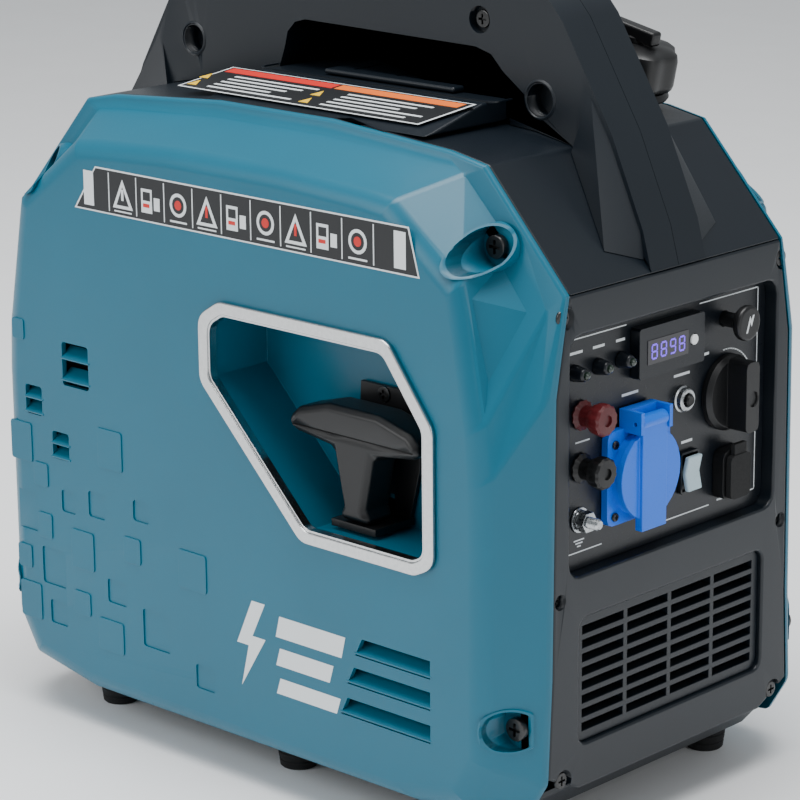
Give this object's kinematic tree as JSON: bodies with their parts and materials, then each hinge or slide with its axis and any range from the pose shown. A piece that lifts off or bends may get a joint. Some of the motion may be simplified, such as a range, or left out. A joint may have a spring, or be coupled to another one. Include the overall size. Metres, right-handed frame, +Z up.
{
  "type": "portable inverter generator",
  "caption": "Closed suitcase-style petrol inverter generator with a carrying handle, recoil pull, recessed control panel with sockets and an intake grille.",
  "frame": {"origin": "middle of the ground under the feet", "axes": "+X towards the control panel, -Y towards the recoil starter side, +Z up"},
  "size_m": [0.4246, 0.26, 0.439],
  "materials": {
    "teal_plastic": "fine satin grain, moulded in colour",
    "black_plastic": "fine satin grain, moulded in colour",
    "soft_black": "moulded, semi-matt",
    "rubber": "matt moulded rubber",
    "polished_steel": "polished trim",
    "zinc_steel": "zinc plated",
    "cast_aluminium": "as cast",
    "blue_plastic": "smooth moulded",
    "grey_plastic": "smooth moulded",
    "white_plastic": "smooth moulded",
    "red_plastic": "smooth moulded",
    "ceramic": "glazed insulator",
    "copper_winding": "lacquered copper",
    "rope": "braided cord"
  },
  "bodies": {
    "casing": {"near_side_cover": "teal_plastic", "far_side_cover": "teal_plastic", "front_frame": "black_plastic", "control_panel": "black_plastic", "front_grille": "black_plastic", "rear_frame": "black_plastic", "rear_grille": "black_plastic", "top_cover": "black_plastic", "handle_near_half": "black_plastic", "handle_far_half": "black_plastic", "base_pan": "black_plastic", "foot_near_rear": "rubber", "foot_near_middle": "rubber", "foot_near_front": "rubber", "foot_far_rear": "rubber", "foot_far_middle": "rubber", "foot_far_front": "rubber", "recoil_surround": "polished_steel", "recoil_recess": "teal_plastic", "recoil_guide": "soft_black", "recoil_rope": "rope", "starter_housing": "soft_black", "run_lamp": "soft_black", "overload_lamp": "soft_black", "oil_lamp": "soft_black", "meter_module": "soft_black", "reset_breaker": "zinc_steel", "mains_socket": "blue_plastic", "eco_switch_body": "soft_black", "earth_stud": "zinc_steel", "dc_outlet": "soft_black", "fuel_tank": "soft_black", "crankcase": "cast_aluminium", "cylinder_block": "cast_aluminium", "spark_plug": "ceramic", "stator": "copper_winding", "carburettor": "cast_aluminium", "air_filter_box": "soft_black", "silencer": "zinc_steel", "tail_pipe": "zinc_steel", "inverter_module": "cast_aluminium"},
    "recoil_grip": {"recoil_grip": "soft_black"},
    "starter_pulley": {"starter_pulley": "black_plastic"},
    "crank_set": {"crankshaft": "zinc_steel", "flywheel": "zinc_steel", "cooling_fan": "soft_black"},
    "fuel_cap": {"fuel_cap": "soft_black"},
    "fuel_vent": {"fuel_vent_knob": "soft_black"},
    "choke_knob": {"choke_knob": "soft_black"},
    "engine_switch": {"engine_switch": "soft_black"},
    "socket_lid": {"socket_lid": "blue_plastic"},
    "outlet_flap": {"dc_outlet_flap": "rubber"},
    "eco_rocker": {"eco_rocker": "grey_plastic"},
    "reset_button": {"reset_button": "soft_black"},
    "meter_button": {"meter_button": "white_plastic"},
    "earth_nut": {"earth_nut": "zinc_steel"},
    "red_terminal": {"parallel_terminal_red": "red_plastic"},
    "black_terminal": {"parallel_terminal_black": "soft_black"},
    "service_door": {"service_door": "teal_plastic"},
    "plug_hatch": {"plug_hatch": "black_plastic"}
  },
  "joints": [
    {"name": "recoil_pull", "type": "slide", "parent": "casing", "child": "recoil_grip", "axis": [0, -0.9397, 0.342], "range_m": [0, 0.7], "stiffness_N_per_m": 12, "springref_m": -0.35},
    {"name": "pulley_turn", "type": "hinge", "parent": "casing", "child": "starter_pulley", "pos_m": [0.04, -0.081, 0.105], "axis": [0, 1, 0], "range_deg": [0, 1340]},
    {"name": "crank_turn", "type": "hinge", "parent": "casing", "child": "crank_set", "pos_m": [0.04, 0, 0.105], "axis": [0, 1, 0], "continuous": true},
    {"name": "fuel_cap_turn", "type": "hinge", "parent": "casing", "child": "fuel_cap", "pos_m": [0.118, 0.058, 0.372], "axis": [0.2079, 0, 0.9781], "continuous": true},
    {"name": "fuel_vent_turn", "type": "hinge", "parent": "fuel_cap", "child": "fuel_vent", "pos_m": [0.118, 0.058, 0.372], "axis": [0.2079, 0, 0.9781], "range_deg": [0, 90]},
    {"name": "choke_pull", "type": "slide", "parent": "casing", "child": "choke_knob", "axis": [1, 0, 0], "range_m": [0, 0.018]},
    {"name": "engine_switch_turn", "type": "hinge", "parent": "casing", "child": "engine_switch", "pos_m": [0.1943, 0.0505, 0.22], "axis": [1, 0, 0], "range_deg": [0, 90]},
    {"name": "socket_lid_swing", "type": "hinge", "parent": "casing", "child": "socket_lid", "pos_m": [0.2058, -0.0258, 0.223], "axis": [0, -1, 0], "range_deg": [0, 135], "stiffness_Nm_per_rad": 0.01, "springref_deg": -34.38},
    {"name": "outlet_flap_swing", "type": "hinge", "parent": "casing", "child": "outlet_flap", "pos_m": [0.2028, 0.0515, 0.1915], "axis": [0, -1, 0], "range_deg": [0, 95], "stiffness_Nm_per_rad": 0.002, "springref_deg": -22.92},
    {"name": "eco_rocker_tilt", "type": "hinge", "parent": "casing", "child": "eco_rocker", "pos_m": [0.1973, 0.0187, 0.1835], "axis": [0, 1, 0], "range_deg": [-8, 8]},
    {"name": "reset_press", "type": "slide", "parent": "casing", "child": "reset_button", "axis": [-1, 0, 0], "range_m": [0, 0.003], "stiffness_N_per_m": 600, "springref_m": -0.001},
    {"name": "meter_press", "type": "slide", "parent": "casing", "child": "meter_button", "axis": [-1, 0, 0], "range_m": [0, 0.0012], "stiffness_N_per_m": 600, "springref_m": -0.001},
    {"name": "earth_nut_turn", "type": "hinge", "parent": "casing", "child": "earth_nut", "pos_m": [0.1943, -0.0678, 0.1773], "axis": [1, 0, 0], "continuous": true},
    {"name": "red_terminal_turn", "type": "hinge", "parent": "casing", "child": "red_terminal", "pos_m": [0.1943, -0.067, 0.232], "axis": [1, 0, 0], "continuous": true},
    {"name": "black_terminal_turn", "type": "hinge", "parent": "casing", "child": "black_terminal", "pos_m": [0.1943, -0.067, 0.2045], "axis": [1, 0, 0], "continuous": true},
    {"name": "service_door_lift", "type": "slide", "parent": "casing", "child": "service_door", "axis": [0, 1, 0], "range_m": [0, 0.06]},
    {"name": "plug_hatch_lift", "type": "slide", "parent": "casing", "child": "plug_hatch", "axis": [0, 0, 1], "range_m": [0, 0.02]}
  ],
  "couplings": [
    {"joint": "pulley_turn", "follows": "recoil_pull", "rad_per_m": 33.333}
  ]
}
